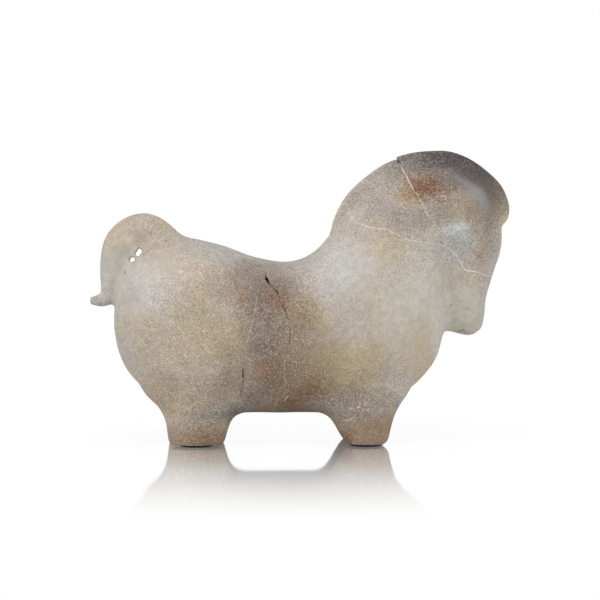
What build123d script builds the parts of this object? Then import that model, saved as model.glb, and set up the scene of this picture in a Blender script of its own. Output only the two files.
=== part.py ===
from build123d import *
import math
import os

# A squat clay horse, thrown hollow in parts, luted together and mended along its cracks.
# Millimetres, +Z up, +X towards the head, +Y to the horse's left, origin on the floor below its middle.

# Overall size
LENGTH = 300.0
HEIGHT = 210.0
WIDTH = 102.0

# Hollow barrel and neck
WALL = 9.0
BARREL_BORE_TIP = 34.0
NECK_BORE = 44.0
NECK_BORE_TIP = 18.0

# Mane: a flat-topped strip set into the neck
MANE_THICKNESS = 14.5
MANE_DEPTH = 20.0
MANE_EDGE = 2.4
MANE_STEP = 1.5

# Tail: its girth, and the size of its loop along the horse and up
TAIL_THICKNESS = 22.0
TAIL_DEPTH = 24.0
TAIL_RUN = 59.0
TAIL_RISE = 51.0

# Legs and the felt under them
LEG_SPACING = 52.0
LEG_WIDTH = 31.0
PAD_DIAMETER = 22.0
PAD_THICKNESS = 1.5

# Pale filler in the mended cracks
FILLER_WIDTH = 1.2

# Facets round the body, the limbs and along them, and how far a cutting tool runs past the body
BODY_SIDES = 36
LIMB_SIDES = 18
STEPS = 2
OVERRUN = 20.0

# Barrel, neck and head, from rump to face: place in LENGTH, underside and top in HEIGHT, half width in
# WIDTH, how much narrower the top is than the underside, and squareness, where 2 is an ellipse.
BODY_SHARES = [
    (-0.443, 0.386, 0.462, 0.098, 0.00, 2.00),
    (-0.432, 0.306, 0.541, 0.265, 0.00, 2.00),
    (-0.406, 0.236, 0.615, 0.392, 0.00, 2.15),
    (-0.357, 0.168, 0.678, 0.471, 0.02, 2.30),
    (-0.287, 0.115, 0.700, 0.498, 0.04, 2.45),
    (-0.200, 0.103, 0.680, 0.490, 0.04, 2.45),
    (-0.110, 0.102, 0.635, 0.466, 0.04, 2.40),
    (-0.027, 0.102, 0.618, 0.456, 0.05, 2.40),
    (0.037, 0.102, 0.655, 0.451, 0.12, 2.40),
    (0.090, 0.105, 0.743, 0.436, 0.24, 2.35),
    (0.150, 0.113, 0.857, 0.422, 0.35, 2.30),
    (0.213, 0.138, 0.919, 0.396, 0.40, 2.25),
    (0.267, 0.186, 0.948, 0.356, 0.27, 2.20),
    (0.303, 0.236, 0.958, 0.312, 0.08, 2.20),
    (0.328, 0.291, 0.960, 0.269, -0.08, 2.30),
    (0.347, 0.361, 0.959, 0.235, -0.18, 2.50),
    (0.378, 0.368, 0.947, 0.233, -0.20, 2.60),
    (0.417, 0.370, 0.919, 0.216, -0.24, 2.60),
    (0.434, 0.385, 0.902, 0.194, -0.28, 2.55),
    (0.441, 0.424, 0.891, 0.174, -0.30, 2.45),
    (0.447, 0.496, 0.882, 0.152, -0.28, 2.30),
    (0.467, 0.590, 0.845, 0.108, -0.12, 2.00),
    (0.477, 0.629, 0.814, 0.080, -0.05, 2.00),
    (0.483, 0.671, 0.771, 0.047, 0.00, 2.00),
]

# Legs, from the foot up into the barrel: height in HEIGHT, rear and front edge in LENGTH, how far the
# middle is off the centre line in LEG_SPACING, and width in LEG_WIDTH.
HIND_LEG_SHARES = [
    (0.000, -0.309, -0.187, 0.50, 0.92),
    (0.014, -0.314, -0.181, 0.50, 1.00),
    (0.043, -0.317, -0.175, 0.50, 1.05),
    (0.071, -0.320, -0.168, 0.50, 1.10),
    (0.100, -0.327, -0.155, 0.50, 1.15),
    (0.130, -0.340, -0.126, 0.50, 1.20),
    (0.175, -0.368, -0.083, 0.47, 1.16),
    (0.240, -0.378, -0.074, 0.40, 0.90),
]
FORE_LEG_SHARES = [
    (0.000, 0.107, 0.197, 0.50, 0.90),
    (0.014, 0.099, 0.205, 0.50, 0.98),
    (0.043, 0.086, 0.210, 0.50, 1.03),
    (0.071, 0.075, 0.215, 0.50, 1.08),
    (0.100, 0.059, 0.222, 0.50, 1.12),
    (0.130, 0.036, 0.233, 0.49, 1.14),
    (0.175, 0.010, 0.252, 0.44, 1.05),
    (0.240, 0.002, 0.258, 0.34, 0.80),
]
LEG_SQUARENESS = 2.3

# Tail, from its root on the rump to its tip: its middle ahead of the rump's rear end in TAIL_RUN and above
# the root in TAIL_RISE, and its girth
TAIL_ROOT_SHARE = 0.645
TAIL_SHARES = [
    (0.728, 0.000, 1.00),
    (0.557, 0.217, 1.00),
    (0.382, 0.331, 1.00),
    (0.209, 0.280, 1.00),
    (0.082, 0.140, 0.99),
    (0.026, -0.062, 0.94),
    (-0.010, -0.284, 0.80),
    (-0.035, -0.474, 0.64),
    (-0.083, -0.597, 0.51),
    (-0.170, -0.653, 0.38),
    (-0.292, -0.657, 0.20),
]

# Top line of the mane, from its foot on the back to the brow, in LENGTH and HEIGHT
CREST_SHARES = [
    (0.074, 0.715), (0.081, 0.758), (0.095, 0.804), (0.114, 0.846), (0.139, 0.883), (0.171, 0.920),
    (0.205, 0.951), (0.240, 0.971), (0.277, 0.984), (0.315, 0.989), (0.350, 0.989), (0.383, 0.977),
    (0.418, 0.952), (0.453, 0.914), (0.479, 0.876), (0.494, 0.835), (0.500, 0.797), (0.496, 0.762),
    (0.484, 0.742),
]
CREST_ROWS_BEHIND_NOTCH = 7
CREST_CENTRE_SHARES = (0.283, 0.676)

# Brow mound on each side of the head: its middle in LENGTH, WIDTH and HEIGHT, and its rings as shares of
# its own length, height and swell
BROW_LENGTH = 25.0
BROW_HEIGHT = 16.0
BROW_SWELL = 2.0
BROW_SHARES = (0.380, 0.228, 0.690)
BROW_RING_SHARES = [(1.00, -3.0), (1.00, -0.2), (0.80, 0.4), (0.55, 0.8), (0.25, 1.0)]

# Cracks and luted seams seen from the side, in LENGTH and HEIGHT
WAIST_REAR_SHARES = [
    (-0.100, 0.760), (-0.098, 0.595), (-0.104, 0.522), (-0.117, 0.422), (-0.128, 0.381), (-0.132, 0.326),
    (-0.143, 0.306), (-0.140, 0.271), (-0.144, 0.186), (-0.156, 0.141), (-0.165, 0.050),
]
WAIST_FRONT_SHARES = [
    (-0.083, 0.760), (-0.085, 0.580), (-0.080, 0.543), (-0.063, 0.529), (-0.054, 0.495), (-0.038, 0.453),
    (-0.031, 0.402), (-0.030, 0.350), (-0.042, 0.271), (-0.042, 0.186), (-0.057, 0.155), (-0.070, 0.050),
]
NECK_SEAM_SHARES = [
    (0.102, 0.860), (0.111, 0.808), (0.123, 0.763), (0.156, 0.739), (0.197, 0.732), (0.221, 0.715),
    (0.254, 0.694), (0.302, 0.684), (0.326, 0.680), (0.352, 0.663), (0.369, 0.636), (0.390, 0.591),
    (0.414, 0.586), (0.450, 0.567), (0.520, 0.530),
]
CROWN_SEAM_SHARES = [
    (0.214, 1.060), (0.233, 0.962), (0.254, 0.904), (0.264, 0.866), (0.278, 0.838), (0.296, 0.780),
    (0.314, 0.746), (0.326, 0.660),
]
FACE_SEAM_SHARES = [
    (0.326, 0.700), (0.325, 0.625), (0.331, 0.588), (0.347, 0.540), (0.358, 0.488), (0.357, 0.433),
    (0.350, 0.378), (0.346, 0.280),
]

# Hollow: corners of the barrel bore in LENGTH, its axis in HEIGHT, and both ends of the neck bore
BARREL_BORE_SHARES = [-0.385, -0.315, 0.145, 0.235]
BARREL_AXIS_SHARE = 0.360
BARREL_HALF_WIDTH_SHARE = 0.456
NECK_BORE_SHARES = [(0.150, 0.500), (0.215, 0.860)]


def places(shares):
    return [(LENGTH * x, HEIGHT * z) for x, z in shares]


def finer(rows):
    """The rows with more on a smooth curve between them."""
    last = len(rows) - 1
    result = []
    for count in range(last):
        before = rows[max(count - 1, 0)]
        after = rows[min(count + 2, last)]
        for step in range(STEPS):
            t = step / STEPS
            row = []
            for a, b, c, d in zip(before, rows[count], rows[count + 1], after):
                bend = (2 * a - 5 * b + 4 * c - d) * t + (3 * b - a - 3 * c + d) * t * t
                row.append(b + ((c - a) + bend) * t / 2)
            result.append(row)
    result.append(list(rows[last]))
    return result


def oval(plane, half_across, half_up, taper, squareness, sides):
    """Points round a rounded outline whose upper half can be narrower."""
    points = []
    for step in range(sides):
        angle = 2 * math.pi * step / sides
        across = math.copysign(abs(math.sin(angle)) ** (2 / squareness), math.sin(angle))
        up = math.copysign(abs(math.cos(angle)) ** (2 / squareness), math.cos(angle))
        points.append(plane.from_local_coords((half_across * across * (1 - taper * up), half_up * up, 0)))
    return points


def skin(rings):
    """A solid of flat facets between rings of points, closed at both ends."""
    faces = [Face(Wire.make_polygon(rings[0], close=True)), Face(Wire.make_polygon(rings[-1], close=True))]
    for near, far in zip(rings, rings[1:]):
        for count in range(len(near)):
            following = (count + 1) % len(near)
            corners = [near[count], near[following], far[following], far[count]]
            faces.append(Face(Wire.make_polygon([corners[0], corners[1], corners[2]], close=True)))
            faces.append(Face(Wire.make_polygon([corners[0], corners[2], corners[3]], close=True)))
    return Solid(Shell(faces))


def make_body():
    """Barrel, neck and head in one, before the cracks divide it."""
    rings = []
    for x, bottom, top, half, taper, squareness in finer(BODY_SHARES):
        middle = Vector(LENGTH * x, 0, HEIGHT * (bottom + top) / 2)
        plane = Plane(origin=middle, x_dir=(0, 1, 0), z_dir=(1, 0, 0))
        rings.append(oval(plane, WIDTH * half, HEIGHT * (top - bottom) / 2, taper, squareness, BODY_SIDES))
    return skin(rings)


def make_brow(side):
    """A low mound laid on the side of the head."""
    x, y, z = BROW_SHARES
    rings = []
    for size, swell in BROW_RING_SHARES:
        middle = Vector(LENGTH * x, side * (WIDTH * y + BROW_SWELL * swell), HEIGHT * z)
        plane = Plane(origin=middle, x_dir=(1, 0, 0), z_dir=(0, side, 0))
        rings.append(oval(plane, BROW_LENGTH * size / 2, BROW_HEIGHT * size / 2, 0, 2, LIMB_SIDES))
    return skin(rings)


def make_hollow():
    """The bore of the thrown barrel with its coned ends, and the tapered bore of the neck above it."""
    bore = WIDTH * BARREL_HALF_WIDTH_SHARE - WALL
    barrel = []
    for share, radius in zip(BARREL_BORE_SHARES, (BARREL_BORE_TIP / 2, bore, bore, BARREL_BORE_TIP / 2)):
        middle = Vector(LENGTH * share, 0, HEIGHT * BARREL_AXIS_SHARE)
        plane = Plane(origin=middle, x_dir=(0, 1, 0), z_dir=(1, 0, 0))
        barrel.append(oval(plane, radius, radius, 0, 2, BODY_SIDES))
    low, high = [Vector(x, 0, z) for x, z in places(NECK_BORE_SHARES)]
    neck = []
    for middle, diameter in ((low, NECK_BORE), (high, NECK_BORE_TIP)):
        plane = Plane(origin=middle, x_dir=(0, 1, 0), z_dir=high - low)
        neck.append(oval(plane, diameter / 2, diameter / 2, 0, 2, LIMB_SIDES))
    return skin(barrel) + skin(neck)


def make_leg(shares, side):
    """A stub that spreads upwards into the barrel."""
    rings = []
    for up, rear, front, spread, girth in finer(shares):
        middle = Vector(LENGTH * (rear + front) / 2, side * LEG_SPACING * spread, PAD_THICKNESS + HEIGHT * up)
        plane = Plane(origin=middle, x_dir=(1, 0, 0), z_dir=(0, 0, 1))
        half_across = LENGTH * (front - rear) / 2
        rings.append(oval(plane, half_across, LEG_WIDTH * girth / 2, 0, LEG_SQUARENESS, LIMB_SIDES))
    return skin(rings)


def make_pad(shares, side):
    """A round of felt glued under a foot."""
    foot, rear, front, spread, girth = shares[0]
    middle = (LENGTH * (rear + front) / 2, side * LEG_SPACING * spread, 0)
    return Pos(middle) * extrude(RegularPolygon(PAD_DIAMETER / 2, 2 * LIMB_SIDES), PAD_THICKNESS)


def directions(points):
    """The way a line runs at each of its points."""
    result = []
    for count in range(len(points)):
        before = points[max(count - 1, 0)]
        after = points[min(count + 1, len(points) - 1)]
        result.append((after - before).normalized())
    return result


def make_tail():
    """The tail loops up off the rump, comes down behind it and flicks out at the tip."""
    rows = finer(TAIL_SHARES)
    rump_end = LENGTH * BODY_SHARES[0][0]
    root_height = HEIGHT * TAIL_ROOT_SHARE
    route = [Vector(rump_end + TAIL_RUN * x, 0, root_height + TAIL_RISE * up) for x, up, girth in rows]
    rings = []
    for point, along, row in zip(route, directions(route), rows):
        plane = Plane(origin=point, x_dir=(0, 1, 0), z_dir=along)
        rings.append(oval(plane, TAIL_THICKNESS * row[2] / 2, TAIL_DEPTH * row[2] / 2, 0, 2, LIMB_SIDES))
    return skin(rings)


def make_mane(shares, rise):
    """A strip along the crest with eased top edges; rise lifts its rear end and fades forwards."""
    line = places(finer(shares))
    last = len(line) - 1
    route = [Vector(x, 0, z + rise * (1 - count / last)) for count, (x, z) in enumerate(line)]
    x, z = places([CREST_CENTRE_SHARES])[0]
    centre = Vector(x, 0, z)
    half = MANE_THICKNESS / 2
    eased = MANE_EDGE * (1 - math.sqrt(0.5))
    side = [(half - MANE_EDGE, 0), (half - eased, -eased), (half, -MANE_EDGE), (half, -MANE_DEPTH)]
    outline = side + [(-across, up) for across, up in reversed(side)]
    rings = []
    for point in route:
        outwards = (point - centre).normalized()
        rings.append([point + Vector(0, across, 0) + outwards * up for across, up in outline])
    return skin(rings)


def beside(line, distance):
    """The same line moved sideways, to the right of the way it runs."""
    points = [Vector(x, z) for x, z in line]
    moved = []
    for point, along in zip(points, directions(points)):
        moved.append((point.X + distance * along.Y, point.Y - distance * along.X))
    return moved


def area(points):
    return make_face(Polyline(*points, close=True))


def behind(line):
    """The side view to the rear of a line that runs down through the body."""
    top = HEIGHT + OVERRUN
    rear = -LENGTH
    return area([(rear, top), (line[0][0], top)] + line + [(line[-1][0], -OVERRUN), (rear, -OVERRUN)])


def body_areas():
    """The side view of each body piece and of the filler bands, which share their edges."""
    top = HEIGHT + OVERRUN
    front = LENGTH
    half = FILLER_WIDTH / 2
    neck = places(NECK_SEAM_SHARES)
    over = beside(neck, -half)
    under = beside(neck, half)
    crown = places(CROWN_SEAM_SHARES)
    head = area([(over[0][0], top)] + over + [(front, over[-1][1]), (front, top)])
    band = area([(over[0][0], top)] + over + list(reversed(under)) + [(under[0][0], top)])
    lower_top = [(-front, top), (under[0][0], top)]
    lower = area(lower_top + under + [(front, under[-1][1]), (front, -OVERRUN), (-front, -OVERRUN)])
    behind_crown = behind(beside(crown, half))
    behind_filler = behind(beside(crown, -half))
    behind_face = behind(places(FACE_SEAM_SHARES))
    behind_front = behind(places(WAIST_FRONT_SHARES))
    behind_rear = behind(places(WAIST_REAR_SHARES))
    return {
        "hind_barrel": behind_rear,
        "waist_band": behind_front - behind_rear,
        "fore_barrel": (lower & behind_face) - behind_front,
        "muzzle": lower - behind_face,
        "nape": head & behind_crown,
        "crown": head - behind_filler,
        "crown_seam_filler": (head & behind_filler) - behind_crown,
        "neck_seam_filler": band,
    }


def through(side_view):
    """A side view as a tool right through the body."""
    return extrude(Plane.XZ * side_view, WIDTH / 2 + OVERRUN, both=True)


def make_nodes():
    body = make_body() + make_brow(1) + make_brow(-1)
    shell = body - make_hollow()
    nodes = {}
    for name, side_view in body_areas().items():
        nodes[name] = shell & through(side_view)

    crown = places(CROWN_SEAM_SHARES)
    notch = CREST_ROWS_BEHIND_NOTCH
    rear_strip = make_mane(CREST_SHARES[: notch + 1], 0)
    front_strip = make_mane(CREST_SHARES[notch - 1 :], MANE_STEP)
    nodes["mane_rear"] = (rear_strip & through(behind(beside(crown, FILLER_WIDTH / 2)))) - body
    nodes["mane_front"] = (front_strip - through(behind(beside(crown, -FILLER_WIDTH / 2)))) - body
    nodes["tail"] = make_tail() - body

    for end, shares in (("hind", HIND_LEG_SHARES), ("fore", FORE_LEG_SHARES)):
        for side_name, side in (("left", 1), ("right", -1)):
            nodes[f"{end}_{side_name}_leg"] = make_leg(shares, side) - body
            nodes[f"{end}_{side_name}_pad"] = make_pad(shares, side)
    return nodes


os.makedirs("parts", exist_ok=True)
for name, node in make_nodes().items():
    export_step(node, f"parts/{name}.step")
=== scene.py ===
import math

import bpy
import numpy as np
import openvdb as vdb
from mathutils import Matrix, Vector


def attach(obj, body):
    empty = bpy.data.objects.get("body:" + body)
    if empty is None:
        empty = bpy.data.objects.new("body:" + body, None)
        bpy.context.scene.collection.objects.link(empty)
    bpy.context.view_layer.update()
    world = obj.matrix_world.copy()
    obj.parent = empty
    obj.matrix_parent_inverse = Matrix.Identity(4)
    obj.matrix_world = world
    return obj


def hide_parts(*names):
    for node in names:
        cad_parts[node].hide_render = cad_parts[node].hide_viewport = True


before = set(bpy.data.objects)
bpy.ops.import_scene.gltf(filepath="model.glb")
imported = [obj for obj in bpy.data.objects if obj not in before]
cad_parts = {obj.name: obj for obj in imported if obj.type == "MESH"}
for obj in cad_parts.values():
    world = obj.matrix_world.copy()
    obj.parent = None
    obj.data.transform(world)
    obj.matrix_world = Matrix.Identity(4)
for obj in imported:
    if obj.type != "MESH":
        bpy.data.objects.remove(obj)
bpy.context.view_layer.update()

# The thrown barrel with its neck and head: one hollow clay form, opened out on the wheel and then paddled to
# shape. It is built here as a field of distances to its skin, because clay parts that are luted together
# flow into each other.
LENGTH = 300.0
HEIGHT = 210.0
WIDTH = 102.0
# How fine the field is, how far it runs past the form, and how far from the skin it still measures, in mm
VOXEL = 0.9
MARGIN = 4.0
BAND = 14.0
# Rings made from each row below, points round a ring, and passes that smooth the form
BARREL_STEPS = 6
BARREL_SIDES = 96
BARREL_EASING = 2
# Place in LENGTH, underside and top in HEIGHT, half width in WIDTH, narrowing of the top, squareness
BARREL_ROWS = [
    (-0.443, 0.386, 0.462, 0.098, 0.00, 2.00),
    (-0.432, 0.306, 0.541, 0.265, 0.00, 2.00),
    (-0.406, 0.236, 0.615, 0.392, 0.00, 2.15),
    (-0.357, 0.168, 0.678, 0.471, 0.02, 2.30),
    (-0.287, 0.115, 0.700, 0.495, 0.04, 2.45),
    (-0.200, 0.103, 0.680, 0.488, 0.04, 2.45),
    (-0.110, 0.102, 0.635, 0.466, 0.04, 2.40),
    (-0.027, 0.102, 0.618, 0.456, 0.05, 2.40),
    (0.037, 0.102, 0.655, 0.451, 0.12, 2.40),
    (0.090, 0.105, 0.743, 0.436, 0.24, 2.35),
    (0.150, 0.113, 0.857, 0.422, 0.35, 2.30),
    (0.213, 0.138, 0.919, 0.396, 0.40, 2.25),
    (0.267, 0.186, 0.948, 0.356, 0.27, 2.20),
    (0.303, 0.236, 0.958, 0.312, 0.08, 2.20),
    (0.328, 0.291, 0.960, 0.269, -0.08, 2.30),
    (0.343, 0.366, 0.959, 0.238, -0.17, 2.45),
    (0.353, 0.377, 0.957, 0.235, -0.18, 2.55),
    (0.378, 0.369, 0.947, 0.233, -0.20, 2.60),
    (0.400, 0.363, 0.932, 0.224, -0.22, 2.60),
    (0.417, 0.368, 0.919, 0.216, -0.24, 2.60),
    (0.434, 0.388, 0.902, 0.194, -0.28, 2.55),
    (0.441, 0.424, 0.891, 0.174, -0.30, 2.45),
    (0.447, 0.496, 0.882, 0.152, -0.28, 2.30),
    (0.467, 0.590, 0.845, 0.108, -0.12, 2.00),
    (0.477, 0.629, 0.814, 0.080, -0.05, 2.00),
    (0.483, 0.671, 0.771, 0.047, 0.00, 2.00),
]

# The grid that every form is worked out on: its first cell along X, Y and Z, its size, and its places
LOW = [
    math.floor(-(LENGTH / 2 + MARGIN) / VOXEL),
    math.floor(-(WIDTH / 2 + MARGIN) / VOXEL),
    math.floor(-MARGIN / VOXEL),
]
SHAPE = tuple(
    math.ceil(high / VOXEL) - low + 1
    for low, high in zip(LOW, (LENGTH / 2 + MARGIN, WIDTH / 2 + MARGIN, HEIGHT + MARGIN))
)
GRID_X = ((LOW[0] + np.arange(SHAPE[0])) * VOXEL).astype(np.float32)[:, None, None]
GRID_Y = ((LOW[1] + np.arange(SHAPE[1])) * VOXEL).astype(np.float32)[None, :, None]
GRID_Z = ((LOW[2] + np.arange(SHAPE[2])) * VOXEL).astype(np.float32)[None, None, :]


def finer(rows, steps):
    """The rows with more on a smooth curve between them."""
    rows = np.array(rows, float)
    last = len(rows) - 1
    result = []
    for count in range(last):
        a, b, c, d = rows[max(count - 1, 0)], rows[count], rows[count + 1], rows[min(count + 2, last)]
        for step in range(steps):
            t = step / steps
            bend = (2 * a - 5 * b + 4 * c - d) * t + (3 * b - a - 3 * c + d) * t * t
            result.append(b + ((c - a) + bend) * t / 2)
    result.append(rows[last])
    return np.array(result)


def oval(middle, side, up, half_across, half_up, taper, squareness, sides):
    """Points round a rounded outline whose upper half can be narrower."""
    angles = 2 * math.pi * np.arange(sides) / sides
    across = np.sign(np.sin(angles)) * np.abs(np.sin(angles)) ** (2 / squareness)
    rise = np.sign(np.cos(angles)) * np.abs(np.cos(angles)) ** (2 / squareness)
    across = half_across * across * (1 - taper * rise)
    return np.array(middle) + np.outer(across, side) + np.outer(half_up * rise, up)


def field(rings):
    """Signed distance, in mm, to the closed skin over rings of points."""
    count = len(rings[0])
    points = np.concatenate(list(rings) + [[rings[0].mean(0)], [rings[-1].mean(0)]])
    near = np.arange(count)
    following = (near + 1) % count
    faces = []
    for row in range(len(rings) - 1):
        a, b = row * count, (row + 1) * count
        faces.append(np.stack([a + near, a + following, b + following], 1))
        faces.append(np.stack([a + near, b + following, b + near], 1))
    tip = len(points) - 2
    end = (len(rings) - 1) * count
    faces.append(np.stack([following, near, np.full(count, tip)], 1))
    faces.append(np.stack([end + near, end + following, np.full(count, tip + 1)], 1))
    grid = vdb.FloatGrid.createLevelSetFromPolygons(
        points.astype(np.float32),
        triangles=np.concatenate(faces).astype(np.uint32),
        transform=vdb.createLinearTransform(voxelSize=VOXEL),
        halfWidth=BAND / VOXEL,
    )
    values = np.full(SHAPE, BAND, np.float32)
    grid.copyToArray(values, ijk=tuple(LOW))
    return values


def joined(a, b, reach):
    """Two fields as one form, with a soft fillet of that reach between them."""
    share = np.clip(0.5 + 0.5 * (b - a) / reach, 0, 1)
    return b + (a - b) * share - reach * share * (1 - share)


def common(a, b, reach):
    """What two fields share, with eased edges."""
    return -joined(-a, -b, reach)


def eased(values, passes):
    """The field with its small steps smoothed away."""
    for _ in range(passes):
        for axis in range(3):
            inner = [slice(None)] * 3
            left, right = list(inner), list(inner)
            inner[axis], left[axis], right[axis] = slice(1, -1), slice(0, -2), slice(2, None)
            moved = values[tuple(inner)] / 2 + (values[tuple(left)] + values[tuple(right)]) / 4
            values[tuple(inner)] = moved
    return values


barrel_rings = []
for x, bottom, top, half, taper, squareness in finer(BARREL_ROWS, BARREL_STEPS):
    middle = (LENGTH * x, 0, HEIGHT * (bottom + top) / 2)
    sizes = (WIDTH * half, HEIGHT * (top - bottom) / 2, taper, squareness)
    barrel_rings.append(oval(middle, (0, 1, 0), (0, 0, 1), *sizes, BARREL_SIDES))
trunk = eased(field(barrel_rings), BARREL_EASING)


# Details that the maker pressed and modelled into the head while the clay was soft: the crease between jaw
# and neck, a low brow mound, the mouth, small pits left by grit, and the seat along the crest for the mane.
JAW_CREASE = [
    (99.2, 143.6), (97.4, 131.3), (99.2, 123.4), (104.2, 113.3), (107.4, 102.4), (107.1, 90.9),
    (104.9, 79.4),
]
JAW_CREASE_DEPTH = 1.3
JAW_CREASE_REACH = 4.5
BROW = (112.5, 150.0)
BROW_REACH = (13.0, 8.5)
BROW_SWELL = 2.6
BROW_SHADE = (109.0, 161.5)
BROW_SHADE_REACH = (10.0, 3.2)
BROW_SHADE_DEPTH = 1.3
MOUTH = [(111.5, 79.5), (115.5, 82.3), (120.5, 84.6)]
MOUTH_DEPTH = 0.7
MOUTH_REACH = 0.9
# Place along X and Z, and reach
PITS = [
    (112.6, 101.2, 0.8), (119.1, 95.3, 1.0), (98.9, 143.4, 1.1), (128.5, 135.2, 1.3), (-134.0, 144.5, 0.8),
    (-109.2, 137.1, 0.9), (-95.6, 145.0, 0.9), (-124.9, 122.7, 0.9),
]
PIT_DEPTH = 1.0
# How far from the middle plane the pressed details start, and where they reach their full depth
FLANK = (4.0, 12.0)
# The crest's line: place in LENGTH and height in HEIGHT. Then how many of its points are behind the notch,
# the place that the band below it narrows towards, and how many points each stretch of a line gets
CREST_ROWS = [
    (0.074, 0.715), (0.081, 0.758), (0.095, 0.804), (0.114, 0.846), (0.139, 0.883), (0.171, 0.920),
    (0.205, 0.951), (0.240, 0.971), (0.277, 0.984), (0.315, 0.989), (0.350, 0.989), (0.383, 0.977),
    (0.418, 0.952), (0.453, 0.914), (0.479, 0.876), (0.494, 0.835), (0.500, 0.797), (0.496, 0.762),
    (0.484, 0.742),
]
CREST_ROWS_BEHIND_NOTCH = 7
CREST_CENTRE = (0.283 * LENGTH, 0.676 * HEIGHT)
LINE_STEPS = 6
# How deep the mane's clay reaches below the crest, and the soft valley along its lower edge: how far outside
# that edge its middle runs, its depth and its reach
MANE_DEPTH = 20.0
MANE_VALLEY_OUTSIDE = 1.5
MANE_VALLEY_DEPTH = 2.2
MANE_VALLEY_REACH = 4.5


def places(shares):
    """Points in the side view, in mm, from shares of the length and height."""
    return np.array(shares, float) * (LENGTH, HEIGHT)


def to_line(line):
    """Distance, in mm, from each place of the side view to a line."""
    line = np.asarray(line, np.float32)
    x, z = GRID_X[:, 0, :], GRID_Z[0, :, :]
    nearest = np.full((SHAPE[0], SHAPE[2]), 1e9, np.float32)
    for (ax, az), (bx, bz) in zip(line, line[1:]):
        run, rise = bx - ax, bz - az
        along = np.clip(((x - ax) * run + (z - az) * rise) / (run * run + rise * rise), 0, 1)
        nearest = np.minimum(nearest, (x - ax - along * run) ** 2 + (z - az - along * rise) ** 2)
    return np.sqrt(nearest)


def to_area(corners):
    """Signed distance, in mm, from each place of the side view to the edge of an area."""
    corners = np.asarray(corners, np.float32)
    x, z = GRID_X[:, 0, :], GRID_Z[0, :, :]
    inside = np.zeros((SHAPE[0], SHAPE[2]), bool)
    for (ax, az), (bx, bz) in zip(corners, np.roll(corners, -1, 0)):
        if az != bz:
            crossed = (az > z) != (bz > z)
            inside ^= crossed & (x < ax + (z - az) * (bx - ax) / (bz - az))
    distance = to_line(np.concatenate([corners, corners[:1]]))
    return np.where(inside, -distance, distance)


def hump(place, reach):
    """A soft bump in the side view, 1 at its middle."""
    x, z = GRID_X[:, 0, :], GRID_Z[0, :, :]
    return np.exp(-(((x - place[0]) / reach[0]) ** 2) - ((z - place[1]) / reach[1]) ** 2)


def strip(shares, rise):
    """The side view, as a signed distance, of the band below a crest line; rise lifts its rear end."""
    line = places(finer(shares, LINE_STEPS))
    line[:, 1] += rise * (1 - np.arange(len(line)) / (len(line) - 1))
    inwards = CREST_CENTRE - line
    inner = line + MANE_DEPTH * inwards / np.linalg.norm(inwards, axis=1)[:, None]
    return to_area(np.concatenate([line, inner[::-1]]))


relief = JAW_CREASE_DEPTH * np.exp(-((to_line(JAW_CREASE) / JAW_CREASE_REACH) ** 2))
relief += BROW_SHADE_DEPTH * hump(BROW_SHADE, BROW_SHADE_REACH) - BROW_SWELL * hump(BROW, BROW_REACH)
relief += MOUTH_DEPTH * np.exp(-((to_line(MOUTH) / MOUTH_REACH) ** 2))
for x, z, size in PITS:
    relief += PIT_DEPTH * hump((x, z), (size, size))
from_mane = strip(CREST_ROWS, 0) - MANE_VALLEY_OUTSIDE
relief += MANE_VALLEY_DEPTH * np.exp(-((from_mane / MANE_VALLEY_REACH) ** 2))
flanks = np.clip((np.abs(GRID_Y) - FLANK[0]) / (FLANK[1] - FLANK[0]), 0, 1)
body = trunk + relief[:, None, :] * flanks
# Paddling left the walls slightly uneven: how deep its waves are, how many radians of them lie in a stretch
# along X, how they bend with height, and over what heights and widths they fade and come again
PADDLE_WAVE = 0.35
PADDLE_STRETCH = 31.0
PADDLE_RADIANS = 6.0
PADDLE_BEND = 1.3
PADDLE_BEND_RISE = 17.0
PADDLE_RISE = 11.0
PADDLE_WIDTH = 19.0
PADDLE_START = 0.6
paddled = np.sin(GRID_X / PADDLE_STRETCH * PADDLE_RADIANS + PADDLE_BEND * np.sin(GRID_Z / PADDLE_BEND_RISE))
paddled = paddled * np.sin(GRID_Z / PADDLE_RISE + GRID_Y / PADDLE_WIDTH + PADDLE_START)
body += PADDLE_WAVE * (1 + paddled.astype(np.float32)) / 2
# The gap inside the tail's loop, which daylight shows through in two places, as rounds: place along X and
# Z, and radius. Then how much wider a round gets for each mm across
GAPS = [
    (-119.8, 131.3, 1.7), (-120.5, 130.6, 1.3), (-116.2, 135.2, 1.7), (-114.8, 136.8, 1.7),
    (-114.9, 138.0, 1.2),
]
GAP_FLARE = 0.01
# How far along X and Z the gap leans for each mm across
GAP_LEAN = (-0.023, -0.036)
GAP_ROUNDING = 1.0
loop_gap = np.full(SHAPE, BAND, np.float32)
for x, z, size in GAPS:
    off_x, off_z = GRID_X - x - GAP_LEAN[0] * GRID_Y, GRID_Z - z - GAP_LEAN[1] * GRID_Y
    round_gap = np.hypot(off_x, off_z) - size - GAP_FLARE * np.abs(GRID_Y)
    loop_gap = np.minimum(loop_gap, round_gap)
body = common(body, -loop_gap, GAP_ROUNDING)


def linear(colour):
    """A hex colour as the shader's own numbers."""
    parts = [int(colour[count : count + 2], 16) / 255 for count in (1, 3, 5)]
    return [c / 12.92 if c <= 0.04045 else ((c + 0.055) / 1.055) ** 2.4 for c in parts] + [1.0]


def add(tree, kind, sockets, output=0, **settings):
    """Adds a node with its settings and, for each socket named, a value or a link; gives one output."""
    made = tree.nodes.new(kind)
    for key, value in settings.items():
        setattr(made, key, value)
    for socket, value in sockets.items():
        if isinstance(value, bpy.types.NodeSocket):
            tree.links.new(value, made.inputs[socket])
        else:
            made.inputs[socket].default_value = value
    return made.outputs[output] if made.outputs else None


CLAY_WARM = "#aa9c87"
CLAY_COOL = "#a59f98"
CLAY_ROUGHNESS = 0.82
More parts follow.
